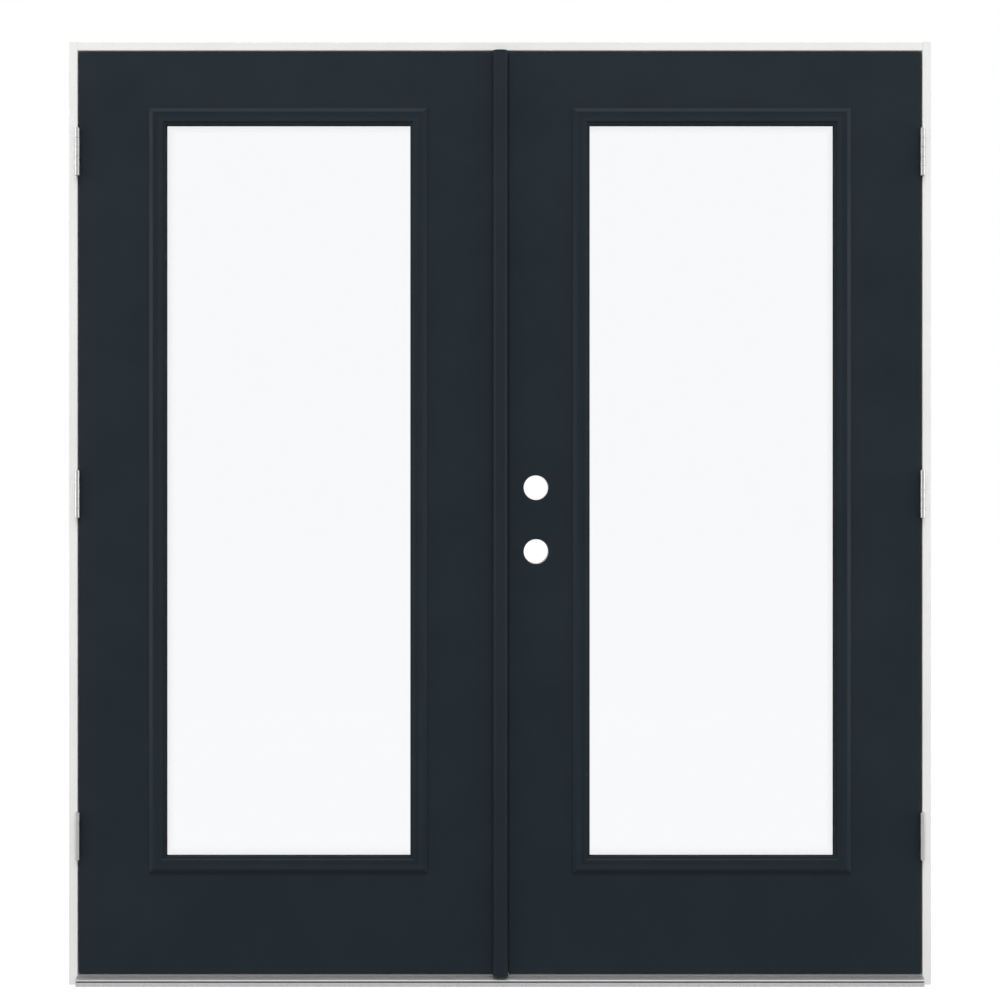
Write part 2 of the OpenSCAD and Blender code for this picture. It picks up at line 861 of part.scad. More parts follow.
// Channel of the top flush bolt and the slot that its thumb piece slides in
module bolt_channel() {
    translate([bolt_x, mid_y, slab_top - bolt_set - bolt_len - thumb_clear])
        cylinder(d = bolt_d + 2 * bolt_clear, h = bolt_len + bolt_set + thumb_clear + cut);
    thumb_z = slab_top - bolt_set - bolt_len + thumb_low;
    block([bolt_x, mid_y - thumb_w / 2 - thumb_clear, thumb_z - thumb_clear],
        [stem_x + cut, mid_y + thumb_w / 2 + thumb_clear,
            thumb_z + thumb_h + bolt_throw + thumb_clear]);
}

// The bottom of the astragal mirrors its top
module upside_down() {
    translate([0, 0, slab_z + slab_top]) mirror([0, 0, 1]) children();
}

module astragal() {
    corner_x = nose_w / 2 - nose_r;
    corner_y = face_y - nose_d + nose_r;
    color(slate) difference() {
        translate([0, 0, slab_z]) linear_extrude(slab_h) polygon(concat(
            [[nose_shift - nose_w / 2, face_y]],
            arc(nose_shift - corner_x, corner_y, nose_r, nose_r, 180, 270, nose_steps),
            arc(nose_shift + corner_x, corner_y, nose_r, nose_r, 270, 360, nose_steps),
            [
                [nose_shift + nose_w / 2, face_y], [stem_x, face_y], [stem_x, back_y],
                [-passive_meet, back_y], [-passive_meet, face_y]
            ]
        ));
        // Kerf of the bulb seal
        block([stem_x - seal_kerf_d, face_y + seal_inset - seal_kerf_w / 2, slab_z - cut],
            [stem_x + cut, face_y + seal_inset + seal_kerf_w / 2, slab_top + cut]);
        for (z = bore_zs) strike_cut(z);
        bolt_channel();
        upside_down() bolt_channel();
    }
}

module astragal_seal() {
    color(vinyl) translate([stem_x, face_y + seal_inset, slab_z]) linear_extrude(slab_h)
        polygon(concat(
            arc(0, 0, seal_r, seal_r, -90, 90),
            [
                [0, seal_kerf_w / 2 - strip_fit], [strip_fit - seal_kerf_d, seal_kerf_w / 2 - strip_fit],
                [strip_fit - seal_kerf_d, strip_fit - seal_kerf_w / 2], [0, strip_fit - seal_kerf_w / 2]
            ]
        ));
}

module flush_bolt() {
    foot_z = slab_top - bolt_set - bolt_len;
    thumb_z = foot_z + thumb_low;
    color(satin) difference() {
        union() {
            translate([bolt_x, mid_y, foot_z]) cylinder(d = bolt_d, h = bolt_len - bolt_tip_h);
            translate([bolt_x, mid_y, foot_z + bolt_len - bolt_tip_h])
                cylinder(d1 = bolt_d, d2 = bolt_tip_d, h = bolt_tip_h);
            block([bolt_x, mid_y - thumb_w / 2, thumb_z],
                [stem_x - thumb_set, mid_y + thumb_w / 2, thumb_z + thumb_h]);
        }
        // Finger grooves across the thumb piece
        for (i = [1:thumb_grooves])
            translate([stem_x - thumb_set, mid_y, thumb_z + i * thumb_h / (thumb_grooves + 1)])
                cube([2 * thumb_groove, thumb_w + 2 * cut, thumb_groove], center = true);
    }
}

jamb(left);  // left_jamb
jamb(right);  // right_jamb
head_jamb();
sill_base();
sill_deck();
threshold_seal();
side_weatherstrip(left);  // left_weatherstrip
side_weatherstrip(right);  // right_weatherstrip
head_weatherstrip();
jamb_leaf(left, top);  // left_top_jamb_leaf
jamb_leaf(left, middle);  // left_middle_jamb_leaf
jamb_leaf(left, bottom);  // left_bottom_jamb_leaf
jamb_leaf(right, top);  // right_top_jamb_leaf
jamb_leaf(right, middle);  // right_middle_jamb_leaf
jamb_leaf(right, bottom);  // right_bottom_jamb_leaf
hinge_pins();
jamb_hinge_screws();

skin(left, face_y);  // passive_exterior_skin
skin(left, back_y - skin_t);  // passive_interior_skin
hinge_stile(left);  // passive_hinge_stile
lock_stile(left);  // passive_lock_stile
rail(left, slab_top - top_rail_h, slab_top);  // passive_top_rail
rail(left, slab_z, slab_z + bottom_rail_h);  // passive_bottom_rail
core(left);  // passive_core
exterior_lite_frame(left);  // passive_exterior_lite_frame
interior_lite_frame(left);  // passive_interior_lite_frame
pane(left, glass_set);  // passive_outer_pane
pane(left, slab_t - glass_set - pane_t);  // passive_inner_pane
spacer(left);  // passive_spacer
sweep(left);  // passive_sweep
door_leaf(left, top);  // passive_top_hinge_leaf
door_leaf(left, middle);  // passive_middle_hinge_leaf
door_leaf(left, bottom);  // passive_bottom_hinge_leaf
door_hinge_screws(left);  // passive_hinge_screws
lite_screws(left);  // passive_lite_screws
astragal();
astragal_seal();
flush_bolt();  // top_flush_bolt
upside_down() flush_bolt();  // bottom_flush_bolt
strike(bore_zs[0]);  // latch_strike
strike(bore_zs[1]);  // deadbolt_strike

skin(right, face_y);  // active_exterior_skin
skin(right, back_y - skin_t);  // active_interior_skin
hinge_stile(right);  // active_hinge_stile
lock_stile(right);  // active_lock_stile
active_lock_block();
rail(right, slab_top - top_rail_h, slab_top);  // active_top_rail
rail(right, slab_z, slab_z + bottom_rail_h);  // active_bottom_rail
core(right);  // active_core
exterior_lite_frame(right);  // active_exterior_lite_frame
interior_lite_frame(right);  // active_interior_lite_frame
pane(right, glass_set);  // active_outer_pane
pane(right, slab_t - glass_set - pane_t);  // active_inner_pane
spacer(right);  // active_spacer
sweep(right);  // active_sweep
door_leaf(right, top);  // active_top_hinge_leaf
door_leaf(right, middle);  // active_middle_hinge_leaf
door_leaf(right, bottom);  // active_bottom_hinge_leaf
door_hinge_screws(right);  // active_hinge_screws
lite_screws(right);  // active_lite_screws
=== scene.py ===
"""French doors: the finish of every piece, the soft seal between the leaves, the studio and the camera.

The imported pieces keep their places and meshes. Each gets eased edges and a material of its own.
Lengths are in metres, X across the unit, Y from the outside to the inside and Z up.
"""

import math

import bpy
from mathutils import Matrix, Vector


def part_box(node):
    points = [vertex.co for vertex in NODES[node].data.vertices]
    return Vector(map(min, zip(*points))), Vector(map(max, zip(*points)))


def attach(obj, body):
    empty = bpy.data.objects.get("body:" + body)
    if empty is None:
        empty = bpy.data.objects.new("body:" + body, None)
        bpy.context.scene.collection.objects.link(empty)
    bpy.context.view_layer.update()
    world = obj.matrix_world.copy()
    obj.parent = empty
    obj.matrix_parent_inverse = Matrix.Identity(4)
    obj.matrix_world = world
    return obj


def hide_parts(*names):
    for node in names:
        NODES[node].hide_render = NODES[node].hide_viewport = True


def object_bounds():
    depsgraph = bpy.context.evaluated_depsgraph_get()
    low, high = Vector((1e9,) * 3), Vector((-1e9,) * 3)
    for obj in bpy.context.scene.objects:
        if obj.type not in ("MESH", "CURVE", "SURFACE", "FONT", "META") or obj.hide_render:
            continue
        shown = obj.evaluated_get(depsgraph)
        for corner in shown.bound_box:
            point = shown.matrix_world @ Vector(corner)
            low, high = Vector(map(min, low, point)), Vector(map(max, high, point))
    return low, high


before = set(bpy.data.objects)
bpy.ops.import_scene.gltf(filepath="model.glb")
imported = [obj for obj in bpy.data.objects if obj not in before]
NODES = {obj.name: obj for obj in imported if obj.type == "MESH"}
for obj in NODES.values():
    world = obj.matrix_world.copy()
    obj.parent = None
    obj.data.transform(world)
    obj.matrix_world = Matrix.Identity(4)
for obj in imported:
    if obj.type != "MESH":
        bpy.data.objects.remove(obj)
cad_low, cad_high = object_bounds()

SCENE = bpy.context.scene

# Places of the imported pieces
skin_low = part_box("active_exterior_skin")[0]
deck_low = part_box("sill_deck")[0]
FACE_Y = skin_low.y

# Camera: square in front of the leaves, at the distance that the frame's narrow sides show
IMAGE_PX = 1000
METRES_PER_PX = 0.002181
CAMERA_DISTANCE = 3.2
CAMERA_HEIGHT = 1.0567
SENSOR_MM = 36.0

# Colours, linear
WHITE = (1.0, 1.0, 1.0)
PRIMER = (0.86, 0.86, 0.85)
PRIMER_LOW = (0.80, 0.80, 0.785)
SLATE = (0.0128, 0.0202, 0.0262)
SLATE_LIGHT = (0.0154, 0.0238, 0.0304)
NICKEL = (0.51, 0.51, 0.505)
NICKEL_DARK = (0.43, 0.43, 0.425)
MILL = (0.51, 0.51, 0.515)
MILL_DARK = (0.42, 0.42, 0.425)
ZINC = (0.66, 0.66, 0.64)
ZINC_DARK = (0.48, 0.48, 0.46)
COMPOSITE = (0.58, 0.58, 0.58)
COMPOSITE_DARK = (0.49, 0.49, 0.485)
# The next three colours are painted shade: under the sill's lip, in its grip grooves (partly dull oxide)
# and on lite-frame flanks
LIP_GROOVE_SHADE = (0.05, 0.05, 0.05)
GROOVE_OXIDE_AND_SHADE = (0.07, 0.07, 0.07)
FLANK_SHADE = (0.008, 0.008, 0.0085)
VINYL = (0.018, 0.018, 0.019)
VINYL_LIGHT = (0.032, 0.032, 0.033)
SWEEP = (0.42, 0.42, 0.425)
SWEEP_LIGHT = (0.48, 0.48, 0.485)
FOAM = (0.78, 0.70, 0.46)
FOAM_DARK = (0.66, 0.57, 0.34)
BLOCK = (0.62, 0.61, 0.58)
BLOCK_DARK = (0.48, 0.47, 0.44)
SPACER = (0.012, 0.012, 0.013)
SPACER_LIGHT = (0.014, 0.014, 0.015)
GLASS = (0.967, 0.974, 0.982)

# Less than the 1.52 of float glass, to keep what the panes mirror faint
GLASS_IOR = 1.41

# How much lighter the grain of a dull dark finish is than its ground
GRAIN_LIFT = 1.6

# The rate of a pattern that is drawn out along no axis
EVEN = (1.0, 1.0, 1.0)

# Eased edges: their widths, the least angle that is eased, segments and the distance of the weld
DECK_EDGE = 0.0001
SCREW_EDGE = 0.00012
HINGE_EDGE = 0.0002
SEAL_EDGE = 0.0002
PLATE_EDGE = 0.0003
GLASS_EDGE = 0.0004
CORE_EDGE = 0.0005
BOARD_EDGE = 0.0006
LEAF_EDGE = 0.0007
EDGE_ANGLE = math.radians(40)
EDGE_SEGMENTS = 2
WELD_GAP = 0.00001

# Faces with painted shade: limits of a face's unit normal
FLANK_MOST_Y = 0.2
FLANK_LEAST_INWARDS = 0.3
GROOVE_WALL_LEAST_Y = 0.9
GROOVE_BED_LEAST_Z = 0.99

# Sill: how far the nose's round and the shadow groove reach back, and the height of the groove's ledge
NOSE_ROUND = 0.0018
SHADOW_GROOVE_REACH = 0.009
LEDGE_HEIGHT = 0.0088

# Bulb of the astragal's seal
SEAL_PRESS = 0.0001
SEAL_BARB = 0.001
SEAL_STEPS = 12

# Studio: the world's fill, what gloss sees of it from its front (0) to its back (1), and the floor
FILL = 0.27
GLOSS_FRONT = (0.70, 0.71, 0.73)
GLOSS_SIDES = (0.92, 0.92, 0.92)
GLOSS_FRONT_END = 0.02
GLOSS_SIDES_START = 0.5
FLOOR_HALF = 30.0
FLOOR_DROP = 0.0005
FLOOR_TONE = (0.27, 0.27, 0.27)
FLOOR_GLOW = 0.77
FLOOR_SHEEN = 0.55

# Lamps: suns by the direction that they shine from, softboxes by their place and the point they face
SUN_ANGLE = math.radians(50)
SUNS = {
    "key_sun": dict(from_direction=(0.0, -0.53, 0.85), strength=1.60),
    "back_sun": dict(from_direction=(0.0, 0.64, 0.77), strength=0.9),
}
SOFTBOXES = {
    "key": dict(place_at=(0.0, -2.6, 4.3), look_at=(0.0, 0.0, 1.2), size=(4.5, 2.5), watts=28.0),
    "front_fill": dict(
        place_at=(0.0, -4.3, 1.2), look_at=(0.0, 0.0, 1.0), size=(3.6, 2.4), watts=25.0, in_gloss=False),
    "left_fill": dict(place_at=(-3.4, -1.0, 1.3), look_at=(0.0, 0.0, 1.1), size=(2.0, 3.2), watts=46.0),
    "right_fill": dict(place_at=(3.4, -1.0, 1.3), look_at=(0.0, 0.0, 1.1), size=(2.0, 3.2), watts=46.0),
}


# Helpers for objects and shader nodes

def add_object(name, data):
    """A new object in the scene."""
    item = bpy.data.objects.new(name, data)
    SCENE.collection.objects.link(item)
    return item


def new_material(name, colour, roughness, metallic=0.0, specular=0.5):
    """A material with one Principled shader: (material, tree, shader)."""
    material = bpy.data.materials.new(name)
    material.use_nodes = True
    tree = material.node_tree
    shader = tree.nodes["Principled BSDF"]
    shader.inputs["Base Color"].default_value = (*colour, 1.0)
    shader.inputs["Roughness"].default_value = roughness
    shader.inputs["Metallic"].default_value = metallic
    shader.inputs["Specular IOR Level"].default_value = specular
    return material, tree, shader


def drawn_out(axes, share):
    """Stretch that draws a pattern out along the named axes, to a share of its rate across them."""
    return tuple(share if axis in axes else 1.0 for axis in "XYZ")


def model_place(tree, stretch=EVEN):
    """The model's own coordinates, stretched along each axis."""
    coordinates = tree.nodes.new("ShaderNodeTexCoord")
    mapping = tree.nodes.new("ShaderNodeMapping")
    mapping.inputs["Scale"].default_value = stretch
    tree.links.new(coordinates.outputs["Object"], mapping.inputs["Vector"])
    return mapping.outputs["Vector"]


def noise(tree, scale, stretch=EVEN, detail=2.0, roughness=0.5):
    """Soft noise from 0 to 1 with `scale` blobs to the metre."""
    texture = tree.nodes.new("ShaderNodeTexNoise")
    texture.inputs["Scale"].default_value = scale
    texture.inputs["Detail"].default_value = detail
    texture.inputs["Roughness"].default_value = roughness
    tree.links.new(model_place(tree, stretch), texture.inputs["Vector"])
    return texture.outputs["Fac"]


def cells(tree, scale):
    """Distance to the middle of the nearest cell, with `scale` cells to the metre."""
    texture = tree.nodes.new("ShaderNodeTexVoronoi")
    texture.inputs["Scale"].default_value = scale
    tree.links.new(model_place(tree), texture.inputs["Vector"])
    return texture.outputs["Distance"]


def map_range(tree, value, start, end, low, high):
    """A value from low to high where the given one goes from start to end."""
    span = tree.nodes.new("ShaderNodeMapRange")
    span.inputs["From Min"].default_value = start
    span.inputs["From Max"].default_value = end
    span.inputs["To Min"].default_value = low
    span.inputs["To Max"].default_value = high
    tree.links.new(value, span.inputs["Value"])
    return span.outputs["Result"]


def colour_ramp(tree, factor, low_colour, high_colour, start, end):
    """A colour from one tone to another where the factor goes from start to end."""
    ramp = tree.nodes.new("ShaderNodeValToRGB")
    first, last = ramp.color_ramp.elements
    first.position, last.position = start, end
    first.color, last.color = (*low_colour, 1.0), (*high_colour, 1.0)
    tree.links.new(factor, ramp.inputs["Fac"])
    return ramp.outputs["Color"]


def mix_shaders(tree, factor, otherwise, chosen):
    """The chosen shader where the factor is 1, and the other one where it is 0."""
    mix = tree.nodes.new("ShaderNodeMixShader")
    tree.links.new(factor, mix.inputs["Fac"])
    tree.links.new(otherwise, mix.inputs[1])
    tree.links.new(chosen, mix.inputs[2])
    return mix.outputs["Shader"]


def blend_colours(tree, shader, factor, low_colour, high_colour, start=0.35, end=0.65):
    """Base colour from one tone to another where the factor goes from start to end."""
    colour = colour_ramp(tree, factor, low_colour, high_colour, start, end)
    tree.links.new(colour, shader.inputs["Base Color"])


def vary_roughness(tree, shader, factor, low, high, start=0.3, end=0.7):
    """Roughness from low to high where the factor goes from start to end."""
    tree.links.new(map_range(tree, factor, start, end, low, high), shader.inputs["Roughness"])


def emboss(tree, shader, height, depth, strength=1.0):
    """Relief of a height map, on top of any relief that the shader has already."""
    bump = tree.nodes.new("ShaderNodeBump")
    bump.inputs["Distance"].default_value = depth
    bump.inputs["Strength"].default_value = strength
    tree.links.new(height, bump.inputs["Height"])
    normal = shader.inputs["Normal"]
    if normal.is_linked:
        tree.links.new(normal.links[0].from_socket, bump.inputs["Normal"])
    tree.links.new(bump.outputs["Normal"], normal)


def show_surface(tree, surface):
    """Makes a mixed shader the one that the material shows."""
    tree.links.new(surface, tree.nodes["Material Output"].inputs["Surface"])


# Materials

def primed_wood(name, axis):
    """White factory primer over finger-jointed timber, whose grain runs along one axis."""
    material, tree, shader = new_material(name, PRIMER, roughness=0.55, specular=0.35)
    patches = noise(tree, scale=5.0, detail=4.0)
    grain = noise(tree, scale=420.0, stretch=drawn_out(axis, share=0.03), detail=3.0)
    stipple = noise(tree, scale=1100.0, detail=1.0)
    blend_colours(tree, shader, patches, PRIMER_LOW, PRIMER, start=0.15, end=0.55)
    vary_roughness(tree, shader, grain, low=0.48, high=0.62)
    emboss(tree, shader, grain, depth=0.00006)
    emboss(tree, shader, stipple, depth=0.00003)
    return material


def slate_paint():
    """Satin slate paint with a faint mottle and the fine orange peel of a sprayed coat."""
    material, tree, shader = new_material("slate_paint", SLATE, roughness=0.42, specular=0.09)
    mottle = noise(tree, scale=7.0, detail=4.0, roughness=0.6)
    peel = noise(tree, scale=650.0, detail=1.5)
    ripple = noise(tree, scale=90.0, detail=1.0)
    blend_colours(tree, shader, mottle, SLATE, SLATE_LIGHT, start=0.3, end=0.7)
    vary_roughness(tree, shader, mottle, low=0.38, high=0.47)
    emboss(tree, shader, ripple, depth=0.00005)
    emboss(tree, shader, peel, depth=0.00003)
    return material


def brushed_metal(name, colour, dark, metallic, roughness, haze_span, stretch, relief):
    """Metal with fine lines drawn out by the stretch; less than 1 of metallic is a film of oxide."""
    material, tree, shader = new_material(name, colour, roughness, metallic)
    lines = noise(tree, scale=1800.0, stretch=stretch, detail=3.0, roughness=0.6)
    haze = noise(tree, scale=40.0, detail=2.0)
    blend_colours(tree, shader, lines, dark, colour, start=0.25, end=0.6)
    vary_roughness(tree, shader, haze, low=roughness - haze_span, high=roughness + haze_span)
    emboss(tree, shader, lines, depth=relief)
    return material


def satin_nickel():
    """Brushed nickel plate of the hinges and strikes, with upright lines."""
    return brushed_metal(
        "satin_nickel", NICKEL, NICKEL_DARK, metallic=1.0, roughness=0.34, haze_span=0.05,
        stretch=drawn_out("Z", share=0.03), relief=0.00001)


def drawn_aluminium():
    """Mill finish of the sill's deck, with the lines of the die along it."""
    return brushed_metal(
        "drawn_aluminium", MILL, MILL_DARK, metallic=0.62, roughness=0.31, haze_span=0.01,
        stretch=drawn_out("X", share=0.01), relief=0.000002)


def zinc_plate():
    """Bright zinc on screws and bolts, with the cloudy patches of the plating."""
    material, tree, shader = new_material("zinc_plate", ZINC, roughness=0.32, metallic=1.0)
    clouds = noise(tree, scale=600.0, detail=4.0)
    blend_colours(tree, shader, clouds, ZINC_DARK, ZINC, start=0.3, end=0.6)
    vary_roughness(tree, shader, clouds, low=0.26, high=0.40)
    emboss(tree, shader, clouds, depth=0.000008)
    return material


def sill_composite():
    """Grey moulded sill base with fine drag lines along the unit."""
    material, tree, shader = new_material("sill_composite", COMPOSITE, roughness=0.6, specular=0.3)
    drag = noise(tree, scale=900.0, stretch=drawn_out("X", share=0.01), detail=3.0)
    flecks = noise(tree, scale=260.0, detail=3.0)
    blend_colours(tree, shader, flecks, COMPOSITE_DARK, COMPOSITE, start=0.3, end=0.6)
    vary_roughness(tree, shader, flecks, low=0.52, high=0.68)
    emboss(tree, shader, drag, depth=0.00005)
    return material


def seal_vinyl(name, colour, light):
    """Flexible seal with a closed-cell grain."""
    material, tree, shader = new_material(name, colour, roughness=0.62, specular=0.3)
    grain = cells(tree, scale=1500.0)
    bloom = noise(tree, scale=30.0, detail=3.0)
    blend_colours(tree, shader, bloom, colour, light)
    vary_roughness(tree, shader, bloom, low=0.55, high=0.72)
    emboss(tree, shader, grain, depth=0.00008, strength=0.6)
    return material


def foam_core():
    """Poured foam with open cells."""
    material, tree, shader = new_material("foam_core", FOAM, roughness=0.9, specular=0.2)
    pores = cells(tree, scale=900.0)
    tone = noise(tree, scale=60.0, detail=4.0)
    blend_colours(tree, shader, tone, FOAM_DARK, FOAM)
    vary_roughness(tree, shader, tone, low=0.82, high=0.96)
    emboss(tree, shader, pores, depth=0.0004)
    return material


def lock_block():
    """Pale composite of the lock block, with the rings of the hole saw."""
    material, tree, shader = new_material("lock_block", BLOCK, roughness=0.75, specular=0.25)
    fibres = noise(tree, scale=700.0, stretch=drawn_out("Y", share=0.15), detail=4.0, roughness=0.65)
    rings = noise(tree, scale=500.0, stretch=drawn_out("XZ", share=0.02), detail=2.0)
    blend_colours(tree, shader, fibres, BLOCK_DARK, BLOCK, start=0.3, end=0.6)
    vary_roughness(tree, shader, fibres, low=0.66, high=0.84)
    emboss(tree, shader, rings, depth=0.00015)
    emboss(tree, shader, fibres, depth=0.0001)
    return material


def spacer_bar():
    """Black spacer of the insulated glass, with a faint dimpled grain."""
    material, tree, shader = new_material("spacer_bar", SPACER, roughness=0.8, specular=0.05)
    dimples = cells(tree, scale=350.0)
    tone = noise(tree, scale=200.0, detail=2.0)
    blend_colours(tree, shader, tone, SPACER, SPACER_LIGHT)
    vary_roughness(tree, shader, tone, low=0.72, high=0.9)
    emboss(tree, shader, dimples, depth=0.00005, strength=0.5)
    return material


def matte_dark(name, colour, grain_scale):
    """Near-black dull finish with a fine grain; here it is painted shade on lite-frame flanks and in the
    sill's grooves.
    """
    material, tree, shader = new_material(name, colour, roughness=0.9, specular=0.05)
    grain = noise(tree, scale=grain_scale, detail=3.0)
    lighter = tuple(GRAIN_LIFT * channel for channel in colour)
    blend_colours(tree, shader, grain, colour, lighter)
    vary_roughness(tree, shader, grain, low=0.84, high=0.96)
    emboss(tree, shader, grain, depth=0.00004)
    return material


def clear_glass():
    """Float glass with a faint roll wave; shadow rays go straight through it."""
    material, tree, shader = new_material("clear_glass", GLASS, roughness=0.0, specular=0.5)
    shader.inputs["Transmission Weight"].default_value = 1.0
    shader.inputs["IOR"].default_value = GLASS_IOR
    wave = noise(tree, scale=3.0, stretch=drawn_out("Z", share=0.25), detail=1.0)
    emboss(tree, shader, wave, depth=0.00002)
    path = tree.nodes.new("ShaderNodeLightPath")
    clear = tree.nodes.new("ShaderNodeBsdfTransparent")
    is_shadow = path.outputs["Is Shadow Ray"]
    show_surface(tree, mix_shaders(tree, is_shadow, shader.outputs["BSDF"], clear.outputs["BSDF"]))
    return material


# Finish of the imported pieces

paint = slate_paint()
nickel = satin_nickel()
aluminium = drawn_aluminium()
zinc = zinc_plate()
upright_primer = primed_wood("primed_upright", "Z")
level_primer = primed_wood("primed_level", "X")
vinyl = seal_vinyl("seal_vinyl", VINYL, VINYL_LIGHT)

# Words of a node's name, its material and the width of its eased edges; the first row that fits counts
FINISHES = [
    (("screws",), zinc, SCREW_EDGE),
    (("flush_bolt",), zinc, PLATE_EDGE),
    (("strike",), nickel, PLATE_EDGE),
    (("jamb_leaf", "hinge_leaf", "hinge_pins"), nickel, HINGE_EDGE),
    (("head_jamb",), level_primer, BOARD_EDGE),
    (("left_jamb", "right_jamb"), upright_primer, BOARD_EDGE),
    (("sill_deck",), aluminium, DECK_EDGE),
    (("sill_base",), sill_composite(), BOARD_EDGE),
    (("sweep",), seal_vinyl("sweep_vinyl", SWEEP, SWEEP_LIGHT), SEAL_EDGE),
    (("seal", "weatherstrip"), vinyl, SEAL_EDGE),
    (("core",), foam_core(), CORE_EDGE),
    (("lock_block",), lock_block(), CORE_EDGE),
    (("spacer",), spacer_bar(), GLASS_EDGE),
    (("pane",), clear_glass(), GLASS_EDGE),
    (("skin", "stile", "rail", "lite_frame", "astragal"), paint, LEAF_EDGE),
]


def finish_of(name):
    """The first finish whose words the node's name holds."""
    for words, material, width in FINISHES:
        if any(word in name for word in words):
            return material, width
    raise KeyError(name)


def ease_edges(piece, width):
    """Rounds a piece's sharp edges a little and keeps its flats flat, without touching its mesh."""
    weld = piece.modifiers.new("weld", "WELD")
    weld.merge_threshold = WELD_GAP
    bevel = piece.modifiers.new("eased_edges", "BEVEL")
    bevel.width = width
    bevel.segments = EDGE_SEGMENTS
    bevel.limit_method = "ANGLE"
    bevel.angle_limit = EDGE_ANGLE
    bevel.use_clamp_overlap = False
    bevel.harden_normals = True
    flats = piece.modifiers.new("flats", "WEIGHTED_NORMAL")
    flats.keep_sharp = False


for name, node in NODES.items():
    material, width = finish_of(name)
    node.data.materials.clear()
    node.data.materials.append(material)
    ease_edges(node, width)


# Painted shade on some faces of a piece

def repaint(name, material, chosen):
    """A second material for the faces of a node that are chosen by their middle and normal; here it is
    painted shade.
    """
    mesh = NODES[name].data
    mesh.materials.append(material)
    for face in mesh.polygons:
        if chosen(face.center, face.normal):
            face.material_index = 1


def paint_flank_shade(name):
    """Painted shade: near-black on the flanks of a lite frame that look across its opening, at the
    glass's edge.
    """
    low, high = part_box(name)
    middle = (low + high) / 2

    def looks_across(centre, normal):
        inwards = middle - centre
        inwards.y = 0.0
        return abs(normal.y) < FLANK_MOST_Y and normal.dot(inwards.normalized()) > FLANK_LEAST_INWARDS

    repaint(name, flank_shade_paint, looks_across)


def in_grip_groove(centre, normal):
    """The walls and beds of the grip grooves between the deck's nose and the leaves, which get painted
    shade.
    """
    on_slope = deck_low.y + NOSE_ROUND < centre.y < FACE_Y
    return on_slope and (abs(normal.y) > GROOVE_WALL_LEAST_Y or normal.z > GROOVE_BED_LEAST_Z)


def in_shadow_groove(centre, _normal):
    """Faces in the groove under the sill's lip, behind its grey front, which are painted near-black as
    shade.
    """
    return centre.z > cad_low.z + LEDGE_HEIGHT and centre.y < deck_low.y + SHADOW_GROOVE_REACH


# Painted shade: the lite frames' flanks that face across the glass are painted near-black
flank_shade_paint = matte_dark("painted_flank_shade", FLANK_SHADE, grain_scale=900.0)
for name in NODES:
    if name.endswith("lite_frame"):
        paint_flank_shade(name)
# Painted shade: the grip grooves are painted near-black, a dull oxide in part, so the deck looks shaded
repaint("sill_deck", matte_dark("grip_groove_oxide_and_shade", GROOVE_OXIDE_AND_SHADE, grain_scale=600.0), in_grip_groove)
# Painted shade: the ledge and back of the groove under the sill's lip are painted near-black
repaint("sill_base", matte_dark("painted_lip_groove_shade", LIP_GROOVE_SHADE, grain_scale=300.0), in_shadow_groove)


# Soft piece

def bulb_seal():
    """Soft bulb of the astragal, from its kerf until it just meets the other leaf's edge."""
    low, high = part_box("astragal_seal")
    radius = (high.y - low.y) / 2
    middle_y = (high.y + low.y) / 2
    stem_x = high.x - radius
    reach = skin_low.x + SEAL_PRESS - stem_x
    turns = (math.pi * (i / SEAL_STEPS - 0.5) for i in range(SEAL_STEPS + 1))
    section = [(stem_x + reach * math.cos(a), middle_y + radius * math.sin(a)) for a in turns]
    section += [(low.x, middle_y + SEAL_BARB), (low.x, middle_y - SEAL_BARB)]
    count = len(section)
    points = [(x, y, z) for z in (low.z, high.z) for x, y in section]
    faces = [(i, (i + 1) % count, (i + 1) % count + count, i + count) for i in range(count)]
    faces += [tuple(range(count))[::-1], tuple(range(count, 2 * count))]
    mesh = bpy.data.meshes.new("bulb_seal")
    mesh.from_pydata(points, [], faces)
    mesh.materials.append(vinyl)
    piece = add_object("bulb_seal", mesh)
    mesh.shade_smooth()
    ease_edges(piece, SEAL_EDGE)
    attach(piece, "passive_leaf")
    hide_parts("astragal_seal")


bulb_seal()


# Studio

def studio_world():
    """White for the eye and through glass, a studio with a darker front for gloss, grey for fill."""
    world = bpy.data.worlds.new("studio")
    SCENE.world = world
    world.use_nodes = True
    tree = world.node_tree
    tree.nodes.clear()
    output = tree.nodes.new("ShaderNodeOutputWorld")
    path = tree.nodes.new("ShaderNodeLightPath")

    def background(strength):
        node = tree.nodes.new("ShaderNodeBackground")
        node.inputs["Color"].default_value = (*WHITE, 1.0)
        node.inputs["Strength"].default_value = strength
        return node

    seen, gloss, fill = background(1.0), background(1.0), background(FILL)
    # The studio behind the camera is darker than its sides, its ceiling and its back
    direction = tree.nodes.new("ShaderNodeTexCoord")
    axes = tree.nodes.new("ShaderNodeSeparateXYZ")
    tree.links.new(direction.outputs["Generated"], axes.inputs["Vector"])
    front_to_back = map_range(tree, axes.outputs["Y"], start=-1.0, end=1.0, low=0.0, high=1.0)
    studio = colour_ramp(
        tree, front_to_back, GLOSS_FRONT, GLOSS_SIDES, start=GLOSS_FRONT_END, end=GLOSS_SIDES_START)
    tree.links.new(studio, gloss.inputs["Color"])
    lit = mix_shaders(tree, path.outputs["Is Glossy Ray"], fill.outputs[0], gloss.outputs[0])
    through = mix_shaders(tree, path.outputs["Is Transmission Ray"], lit, seen.outputs[0])
    shown = mix_shaders(tree, path.outputs["Is Camera Ray"], through, seen.outputs[0])
    tree.links.new(shown, output.inputs["Surface"])


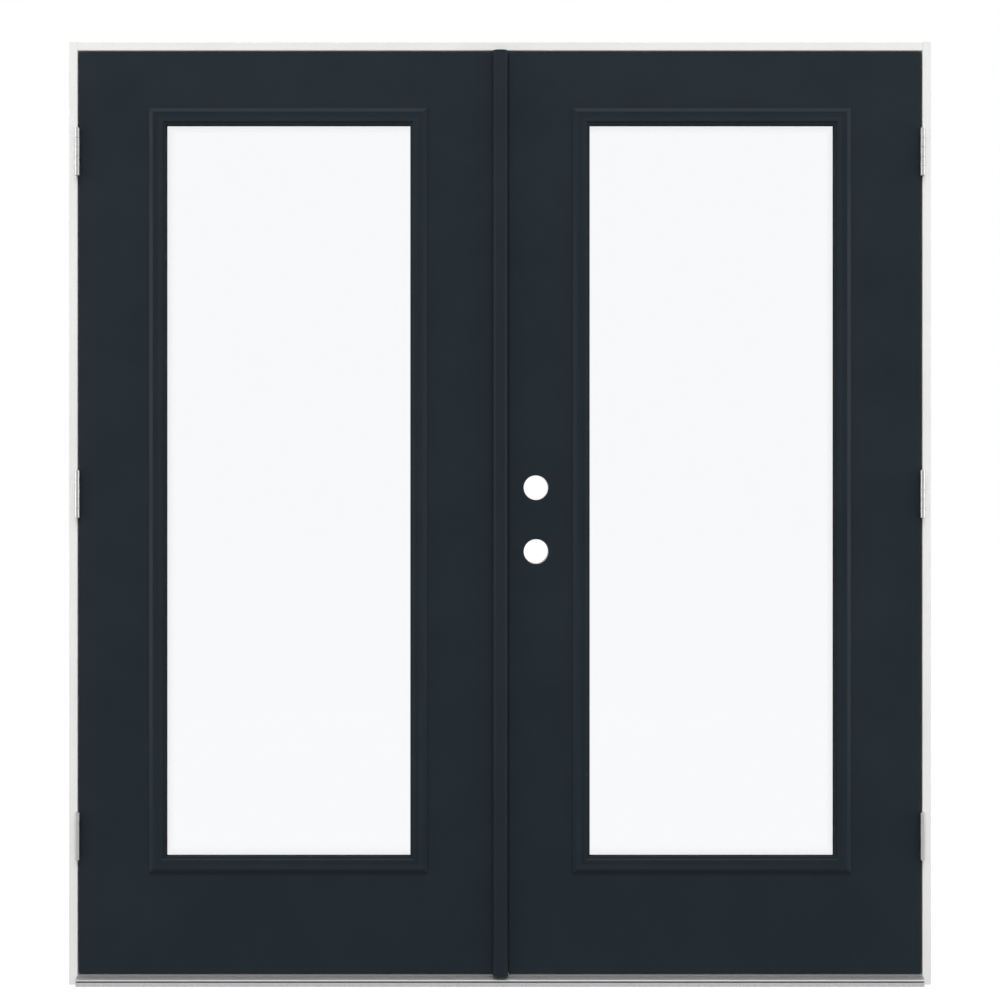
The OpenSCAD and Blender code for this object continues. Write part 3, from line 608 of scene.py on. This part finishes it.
def soft_sun(name, from_direction, strength):
    """Even light from a wide patch of sky, so that its shadows are soft."""
    data = bpy.data.lights.new(name, "SUN")
    data.angle = SUN_ANGLE
    data.energy = strength
    lamp = add_object(name, data)
    lamp.rotation_euler = Vector(from_direction).to_track_quat("Z", "Y").to_euler()


def softbox(name, place_at, look_at, size, watts, in_gloss=True):
    """A large soft lamp that faces a point, and that gloss and glass show or not."""
    data = bpy.data.lights.new(name, "AREA")
    data.shape = "RECTANGLE"
    data.size, data.size_y = size
    data.energy = watts
    lamp = add_object(name, data)
    lamp.location = place_at
    lamp.rotation_euler = (Vector(look_at) - Vector(place_at)).to_track_quat("-Z", "Y").to_euler()
    lamp.visible_camera = False
    lamp.visible_glossy = in_gloss
    lamp.visible_transmission = in_gloss


def floor():
    """White floor just under the sill: it shines for the eye and still takes the shadow."""
    mesh = bpy.data.meshes.new("floor")
    corners = ((-1, -1), (1, -1), (1, 1), (-1, 1))
    floor_z = cad_low.z - FLOOR_DROP
    mesh.from_pydata([(x * FLOOR_HALF, y * FLOOR_HALF, floor_z) for x, y in corners], [], [(0, 1, 2, 3)])
    plane = add_object("floor", mesh)
    material, tree, shader = new_material("floor", FLOOR_TONE, roughness=1.0, specular=0.0)
    # The glow is for rays that see the floor, less in gloss, and none of it lights the object
    path = tree.nodes.new("ShaderNodeLightPath")
    sheen = tree.nodes.new("ShaderNodeMath")
    sheen.operation = "MULTIPLY"
    sheen.inputs[1].default_value = FLOOR_SHEEN
    tree.links.new(path.outputs["Is Glossy Ray"], sheen.inputs[0])
    level = tree.nodes.new("ShaderNodeMath")
    level.operation = "MULTIPLY_ADD"
    level.inputs[1].default_value = FLOOR_GLOW
    tree.links.new(path.outputs["Is Camera Ray"], level.inputs[0])
    tree.links.new(sheen.outputs[0], level.inputs[2])
    glow = tree.nodes.new("ShaderNodeEmission")
    tree.links.new(level.outputs[0], glow.inputs["Strength"])
    seen = tree.nodes.new("ShaderNodeAddShader")
    tree.links.new(shader.outputs["BSDF"], seen.inputs[0])
    tree.links.new(glow.outputs["Emission"], seen.inputs[1])
    # Through the panes it is as white as the world beyond it
    beyond = tree.nodes.new("ShaderNodeEmission")
    beyond.inputs["Color"].default_value = (*WHITE, 1.0)
    is_through = path.outputs["Is Transmission Ray"]
    show_surface(tree, mix_shaders(tree, is_through, seen.outputs["Shader"], beyond.outputs["Emission"]))
    mesh.materials.append(material)


def camera():
    """Camera level and square to the leaves, in the middle of the unit."""
    data = bpy.data.cameras.new("camera")
    data.sensor_width = SENSOR_MM
    data.lens = SENSOR_MM * CAMERA_DISTANCE / (IMAGE_PX * METRES_PER_PX)
    item = add_object("camera", data)
    item.location = (0.0, FACE_Y - CAMERA_DISTANCE, CAMERA_HEIGHT)
    item.rotation_euler = (math.radians(90), 0.0, 0.0)
    SCENE.camera = item


studio_world()
for name, values in SUNS.items():
    soft_sun(name, **values)
for name, values in SOFTBOXES.items():
    softbox(name, **values)
floor()
camera()
SCENE.view_settings.view_transform = "Standard"
